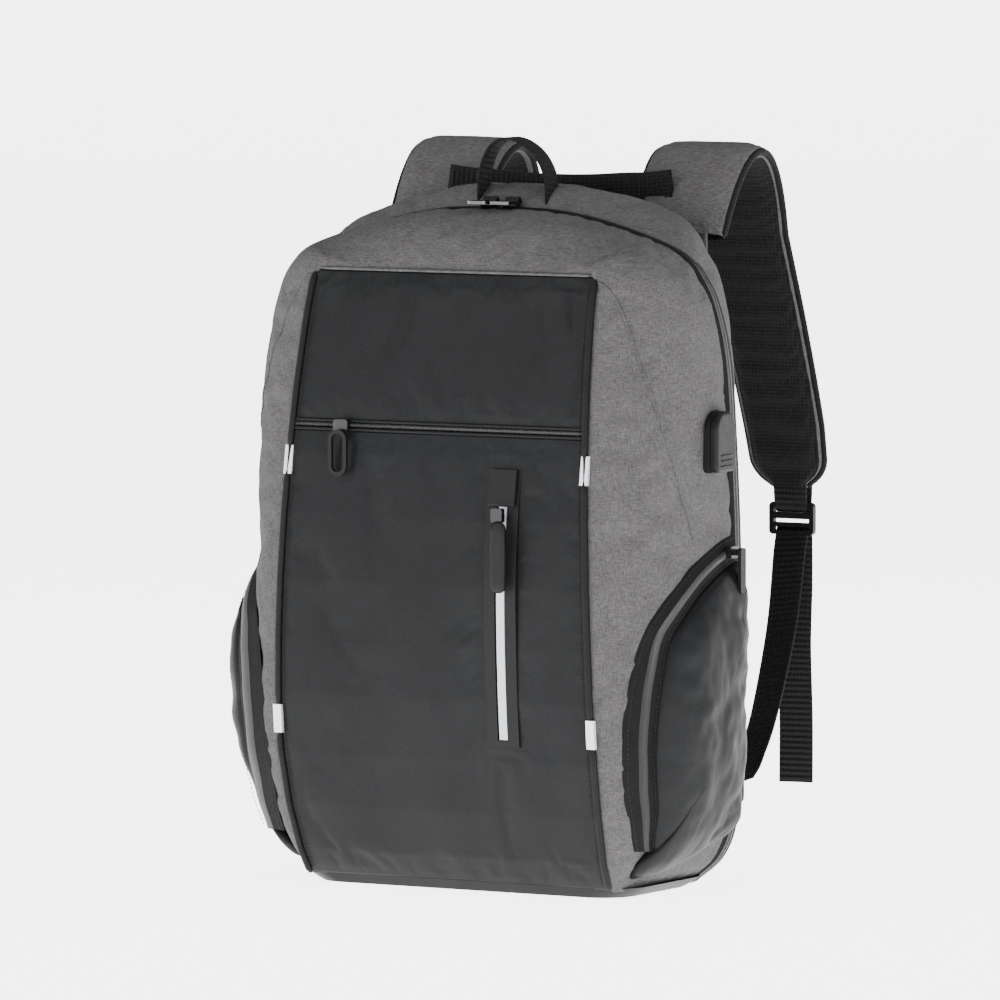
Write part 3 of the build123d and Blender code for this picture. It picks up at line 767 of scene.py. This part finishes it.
def pillow(name, half_size, centre, axes, height, material, nu=60, nv=40, seed=0.0, wob=0.5):
    """A rounded pad over a rectangle, raised along its normal. The axes are up, sideways and the normal."""
    a, b = half_size
    centre = np.asarray(centre, float)
    up, side_dir, normal = np.asarray(axes, float)
    uu, vv = np.meshgrid(np.linspace(-1, 1, nu), np.linspace(-1, 1, nv), indexing="ij")
    s = 0.86 + 0.14 * (1 - (np.abs(uu * vv)) ** 3)
    x = uu * a * s
    z = vv * b * s
    rise = height * np.clip((1 - uu**6) * (1 - vv**6), 0, 1) ** 0.42
    p = centre + side_dir * x[..., None] + up * z[..., None] + normal * rise[..., None]
    p = p + normal * (ripples(p, 40, seed) * wob * np.clip(rise / height, 0, 1))[..., None]
    return grid(name, p, material)


for name, sgn in SIDES.items():
    axes = ((0, 0, 1), (sgn, 0, 0), (0, 1, 0))
    centre = (sgn * 62, 75.5, 232)
    pad = pillow(f"back_pad_cloth_{name}", (46, 160), centre, axes, 9.0, "mesh_fabric", 60, 120, 40.0 + sgn)
    for vert in pad.data.vertices:
        z = vert.co.z / MM
        dip = sum(math.exp(-((z - k) / 3.2) ** 2) for k in (152, 232, 312))
        vert.co.y -= dip * 4.2 * MM * min(max((vert.co.y / MM - 76) / 8, 0), 1)
    solid(pad, 1.0)
    place(pad, "back_half", "mesh_fabric", f"back_pad_{name}")

# ---------------------------------------------------------------- side pockets
def arc_path(r, n=120):
    """The side pocket zip's path in the side view (Y, Z), from the rear top end to the front foot."""
    arc = [math.radians(a) for a in np.linspace(98, 146, 30)]
    pts = [(SIDE_ZIP_CENTRE[0] + r * math.cos(a), SIDE_ZIP_CENTRE[1] + r * math.sin(a)) for a in arc]
    k = SIDE_ZIP_RADIUS - r
    front = (pts[-1], (-61 + k, 170.5 - k / 2), (-71 + k, 112), (-56 + k, 64))
    for t in np.linspace(0.05, 1, 24):
        pts.append(tuple(bezier(*front, t)))
    pts += [(-52 + k * 0.8, 48.0), (-47 + k * 0.6, 33.0)]
    return smooth_path(pts, n)


def pushed_out(y, sgn):
    """The left pocket is fuller at its front end."""
    return 12.0 * np.exp(-(((np.asarray(y, float) + 60) / 36) ** 2)) * (sgn < 0)


def even(x):
    """Takes small steps out of a row of values along a path."""
    for _ in range(4):
        x = np.convolve(np.pad(x, 3, mode="edge"), np.ones(7) / 7, mode="valid")
    return x


SIDE_SURFACE = BVHTree.FromPolygons(*grid_polygons(band_pts[NT // 2:]))
REAR_SURFACE = BVHTree.FromPolygons(*grid_polygons(rear_band(np.linspace(0, 1, 31))[NT // 2:]))


def side_x(y, z, lift=0.0):
    """How far out the bag's right side is at a depth and height, from the gusset's own surface."""
    y, z = np.asarray(y, float), np.asarray(z, float)
    out = np.zeros(y.shape)
    for i in np.ndindex(y.shape):
        hit = None
        for tree in (SIDE_SURFACE, REAR_SURFACE):
            found = tree.ray_cast(Vector((260, y[i], z[i])), Vector((-1, 0, 0)))[0]
            if found is not None and (hit is None or found.x > hit):
                hit = found.x
        out[i] = 150 if hit is None else hit
    return out + lift


# The zip band from its outer to its inner edge: tape, coil, tape, each as radius and height off the gusset
BAND = [
    (121.5, 0.1), (121, 1.3), (116.2, 2.0), (115.2, 3.2), (114, 4.1), (113, 4.4),
    (112, 4.5), (110.8, 4.1), (109.8, 3.6), (105, 4.6), (104.4, 3.8),
]
for name, sgn in SIDES.items():
    rows_ = []
    for r, lift in BAND:
        path = arc_path(r)
        share = min(max((121 - r) / 12, 0), 1)
        out = even(side_x(path[:, 0], path[:, 1], lift)) + pushed_out(path[:, 0], sgn) * share
        rows_.append(np.stack([sgn * out, path[:, 0], path[:, 1]], axis=1))
    o = grid(f"side_zip_band_{name}", np.stack(rows_, axis=1), "zip_tape", flip=sgn < 0)
    o.data.materials.append(MAT["zip_coil"])
    for f in o.data.polygons:
        if 3 <= f.index % 10 <= 6:
            f.material_index = 1
    place(o, "bag", "zip_tape", f"side_zip_{name}")
    for r in (119.6, 106.6):
        path = arc_path(r)
        lift = 1.5 if r > 113 else 4.5
        out = even(side_x(path[:, 0], path[:, 1], lift)) + pushed_out(path[:, 0], sgn) * (121 - r) / 12
        line = np.stack([sgn * out, path[:, 0], path[:, 1]], axis=1)
        stitches(f"side_zip_stitch_{name}_{int(r)}", line, "bag", "zip_tape", pitch=3.2, radius=0.3)
    # pouch: rim along the zip, a puffed middle, and a hem along the base and the main zip
    rim_front = arc_path(104.8, 90)
    low = smooth_path([rim_front[-1], (-45, 22), (-36, 14), (-3, 23), (24, 32), (44, 41)], 70)
    rear_ = smooth_path([(44, 42), (39, 90), (33, 150), (29, 200), tuple(rim_front[0])], 60)
    ring = np.vstack([rim_front[:-1], low[:-1], rear_[:-1]])
    centre = np.array([-8.0, 112.0])
    v = np.linspace(0, 1, 44)
    yz = centre + (ring - centre)[:, None, :] * v[None, :, None]
    bulge = np.clip(1 - v**4.5, 0, 1) ** 0.6
    yy, zz = yz[..., 0], yz[..., 1]
    full = 14.0 * (0.6 + 0.4 * np.clip((zz - 15) / 90, 0, 1))
    wr = ripples(np.stack([0 * yy + sgn * 40, yy, zz], axis=2), 42, 51.0, 3)
    fine = ripples(np.stack([0 * yy + sgn * 90, yy * 1.6, zz * 0.6], axis=2), 20, 57.0, 2)
    out = full * bulge + (wr * 2.6 + fine * 0.8) * bulge**0.5
    xx = side_x(yy, zz, 3.4) + np.clip(out, 0, 17.5)
    xx = np.minimum(xx + pushed_out(yy, sgn) * np.clip((zz - 20) / 60, 0, 1), 184)
    xx[:, -1] -= 3.6
    p = np.stack([sgn * xx, yy, zz], axis=2)
    p = np.vstack([p, p[:1]])
    o = grid(f"side_pouch_cloth_{name}", p, "coated_fabric", flip=sgn > 0)
    solid(o, 1.0)
    place(o, "bag", "coated_fabric", f"side_pouch_{name}")

# ---------------------------------------------------------------- shoulder straps
# A strap's centre line in the side view (Y, Z): up from the yoke, over the fold, and down to the ladder lock
STRAP = [
    [(78, 432), (92, 462), (108, 487), (128, 487)],
    [(128, 487), (150, 487), (160, 455), (167, 420)],
    [(167, 420), (180, 360), (190, 310), (192, 258)],
]
# Webbing on the right side: through the lock, from the lock to the anchor, and the loose tail
LOCK_LOOP = [
    (120, 189.5, 275), (120, 188.5, 256), (120, 190.5, 244),
    (120, 194, 242), (120, 196.4, 250), (120, 197, 262),
]
LOWER_WEB = [
    (120, 193.5, 231), (121, 186, 214), (126, 166, 166),
    (132, 132, 112), (137, 102, 82), (140, 80, 68),
]
TAIL_WEB = [
    (120, 195.6, 232), (120, 197.2, 224), (120.5, 196.4, 190),
    (120, 195.4, 150), (121, 196, 100), (121.5, 195, 57),
]
PROFILE_SIDES = 56


def strap_centre(n):
    pts = []
    for a, b, c, d in STRAP:
        for t in np.linspace(0, 1, 30, endpoint=False):
            pts.append(bezier(a, b, c, d, t))
    pts.append(np.array(STRAP[-1][-1], float))
    return smooth_path(pts, n)


def strap_edges(z):
    """Inner and outer edge of a strap at a height."""
    zs = [248, 300, 380, 430, 505]
    inner = np.interp(z, zs, [94, 86, 73, 60, 54])
    outer = np.interp(z, zs, [146, 144, 135, 129, 131])
    return inner, outer


def over_fold(piece):
    """Bakes a piece's placement into its mesh."""
    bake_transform(piece)


def mirrored(points, sgn):
    return [(sgn * x, y, z) for x, y, z in points]


strap_line = strap_centre(170)
for name, sgn in SIDES.items():
    t = np.gradient(strap_line, axis=0)
    t /= np.linalg.norm(t, axis=1)[:, None]
    nrm = np.stack([-t[:, 1], t[:, 0]], axis=1)
    s = np.concatenate([[0], np.cumsum(np.linalg.norm(np.diff(strap_line, axis=0), axis=1))])
    total = s[-1]
    inner, outer = strap_edges(strap_line[:, 1])
    mid, half = (inner + outer) / 2, (outer - inner) / 2
    from_end = total - s
    half = half * np.sqrt(np.clip(1 - np.clip((20 - from_end) / 20, 0, 0.86) ** 2, 0, 1))
    prof = []
    for a in np.linspace(0, 2 * math.pi, PROFILE_SIDES, endpoint=False):
        c, q = math.cos(a), math.sin(a)
        prof.append((math.copysign(abs(c) ** 0.42, c), math.copysign(abs(q) ** 0.8, q)))
    verts = []
    for i in range(len(strap_line)):
        ring = []
        for c, q in prof:
            e = 6.4 if q > 0 else 6.2
            dip = 1 - 0.16 * math.exp(-((abs(c) - 0.86) / 0.06) ** 2)
            lift = q * e * dip
            y, z = strap_line[i] + nrm[i] * lift
            ring.append((sgn * (mid[i] + half[i] * c), y, z))
        verts.append(ring)
    p = np.array(verts)
    rip = ripples(p, 34, 61.0 + sgn, 3)
    away = np.stack([0 * rip, nrm[:, 0:1] + 0 * rip, nrm[:, 1:2] + 0 * rip], axis=2)
    away *= np.sign([q for _, q in prof])[None, :, None]
    creases = np.clip(ripples(p * (0.2, 2.2, 2.2), 26, 71.0, 2), -1, 0.4)
    p = p + away * (rip * 0.6 + creases * 0.7)[..., None]
    o = grid(f"strap_padding_{name}", p, "heather_fabric", wrap_v=True, flip=sgn > 0)
    o.data.materials.append(MAT["mesh_fabric"])
    for f in o.data.polygons:
        j = f.index % PROFILE_SIDES
        q = prof[j][1] + prof[(j + 1) % PROFILE_SIDES][1]
        c = abs(prof[j][0])
        if q < -0.5 and c < 0.93:
            f.material_index = 1
    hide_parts(f"strap_pad_{name}", f"strap_mesh_{name}", f"strap_root_{name}")
    over_fold(o)
    for edge_name, edge_sign in (("in", -1), ("out", 1)):
        line = np.column_stack([sgn * (mid + edge_sign * half * 0.985), strap_line])
        b = tube(f"strap_binding_{name}_{edge_name}", line, 2.6, "binding", 10)
        over_fold(b)
    # webbing and hardware
    across = ((1, 0, 0), (1, 0, 0))
    loop = ribbon(f"lock_loop_{name}", mirrored(LOCK_LOOP, sgn), across, WEB_WIDTH, 1.6, "webbing", 40)
    place(loop, f"strap_{name}", "webbing")
    across = ((1, 0, 0), (0.85, -0.5 * sgn, 0))
    low = ribbon(f"lower_webbing_{name}", mirrored(LOWER_WEB, sgn), across, WEB_WIDTH, 1.6, "webbing", 90)
    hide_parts(f"lower_web_{name}")
    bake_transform(low)
    across = ((1, 0, 0), (1, 0.06, 0))
    tail = ribbon(f"tail_webbing_{name}", mirrored(TAIL_WEB, sgn), across, WEB_WIDTH, 1.5, "webbing", 90)
    place(tail, f"tail_{name}", "webbing", f"tail_web_{name}")
    # anchor wing in the lower corner
    axes = ((0, 0, 1), (sgn * 0.85, -0.5, 0), (sgn * 0.5, 0.85, 0))
    wing = pillow(f"anchor_wing_{name}", (11, 12), (sgn * 138, 70, 66), axes, 8, "coated_fabric", 20, 20)
    place(wing, "back_half", "coated_fabric", f"lower_anchor_{name}")

# yoke, carry handle and hang loop
yu, yv = np.meshgrid(np.linspace(-118, 118, 90), np.linspace(398, 442, 24), indexing="ij")
yoke_y = 76.6 - np.clip(np.abs(yu) - 104, 0, 60) ** 2 * 0.008 - np.clip(yv - 432, 0, 20) ** 2 * 0.012
yoke = np.stack([yu, yoke_y, yv], axis=2)
o = solid(grid("yoke_cloth", yoke, "heather_fabric", flip=True), 1.4, 0)
place(o, "back_half", "heather_fabric", "strap_yoke")
half_handle = [(86, 85, 464), (70, 85.5, 462), (48, 86, 461), (24, 86.5, 459.5)]
handle_line = mirrored(half_handle, -1) + [(0, 87, 459)] + half_handle[::-1]
handle = ribbon("carry_handle_web", handle_line, ((0, 0, 1), (0, 0, 1)), 24, 3.0, "webbing", 110)
place(handle, "back_half", "webbing", "carry_handle")
for sgn, letter in ((-1, "l"), (1, "r")):
    low_in, high_in, high_out, low_out = (62, 83.2, 452), (62, 83.2, 471), (82, 82.8, 473), (82, 82.8, 455)
    cross_box = mirrored([low_in, high_in, high_out, low_out, low_in, high_out], sgn)
    stitches(f"handle_stitch_{letter}", cross_box, "back_half", "webbing", pitch=2.8, radius=0.35)
HANG_LOOP = [
    (-21, 20, 452), (-22, 21, 462), (-22, 23, 476), (-16, 25, 491), (-5, 26, 497),
    (8, 26, 494), (20, 25, 485), (28, 23, 471), (31, 20, 452),
]
hang = ribbon("hang_loop_web", HANG_LOOP, ((0, 1, 0), (0, 1, 0)), 17, 1.7, "webbing", 90)
place(hang, "back_half", "webbing", "hang_loop")

# the phone pocket's rubber pull
axes = ((0, 0, 1), (1, 0, 0), (0, -1, 0))
centre = (POCKET_X + 2.2, -93.9, 227)
pull = pillow("pocket_pull_rubber", (5.4, 23), centre, axes, 2.2, "moulded_rubber", 24, 60, wob=0.0)
solid(pull, 0.8)
place(pull, "pocket_pull", "moulded_rubber", "pocket_pull")

# finger ridges on the USB cover
for k in range(3):
    z = 285.5 + k * 3.6
    ridge = tube(f"usb_ridge_{k}", [(174.9, y, z) for y in np.linspace(-8, 8, 12)], 0.7, "moulded_rubber", 8)
    place(ridge, "usb_cover", "moulded_rubber")

# ---------------------------------------------------------------- stage, light and camera
BOWL = [(0.02, 0), (1, 0), (3, 0), (6, 0), (12, 0), (13.2, 0.12), (14, 0.45), (14.4, 0.9), (14.5, 1.4)]
turn = np.linspace(0, 2 * math.pi, 72, endpoint=False)
bowl = np.array([np.stack([r * np.cos(turn), r * np.sin(turn), z + 0 * turn], axis=1) for r, z in BOWL])
stage_mat, sn, sl, sp = shader("studio_white")
sp.inputs["Base Color"].default_value = (0.86, 0.86, 0.86, 1)
sp.inputs["Roughness"].default_value = 0.9
sp.inputs["Emission Color"].default_value = (1, 1, 1, 1)
sp.inputs["Emission Strength"].default_value = 4.5
MAT["studio_white"] = stage_mat
floor = grid("studio_floor", bowl / MM, "studio_white", wrap_v=True)


def area_light(name, loc, target, size_, power, colour=(1, 1, 1)):
    d = bpy.data.lights.new(name, "AREA")
    d.shape = "RECTANGLE"
    d.size, d.size_y = size_
    d.energy = power
    d.color = colour
    o = bpy.data.objects.new(name, d)
    o.location = loc
    o.rotation_euler = (Vector(target) - Vector(loc)).to_track_quat("-Z", "Y").to_euler()
    bpy.context.collection.objects.link(o)


area_light("key", (-1.6, -2.6, 2.3), (0, 0, 0.25), (1.8, 1.8), 78)
area_light("fill", (2.9, -1.7, 1.3), (0, 0, 0.25), (1.6, 2.0), 45)
area_light("top", (0, 0.2, 3.0), (0, 0, 0.2), (2.4, 2.4), 45)
area_light("rim", (2.2, 1.9, 1.6), (0, 0, 0.3), (1.0, 1.6), 45)
world = bpy.data.worlds.new("studio")
bpy.context.scene.world = world
world.use_nodes = True
world.node_tree.nodes["Background"].inputs["Color"].default_value = (0.95, 0.96, 1, 1)
world.node_tree.nodes["Background"].inputs["Strength"].default_value = 0.2

cam = bpy.data.cameras.new("camera")
cam.sensor_width = 36
cam.lens = 378
cam_o = bpy.data.objects.new("camera", cam)
bpy.context.collection.objects.link(cam_o)
az, el, dist = math.radians(30), math.radians(4.2), 7.0
look = Vector((math.sin(az) * math.cos(el), -math.cos(az) * math.cos(el), math.sin(el)))
right_v = Vector((math.cos(az), math.sin(az), 0))
up_v = look.cross(right_v)
target = Vector((0, 0, 0.230)) + right_v * 0.002 + up_v * (0.040 / 1.5)
cam_o.location = target + look * dist
cam_o.rotation_euler = look.to_track_quat("Z", "Y").to_euler()
bpy.context.scene.camera = cam_o
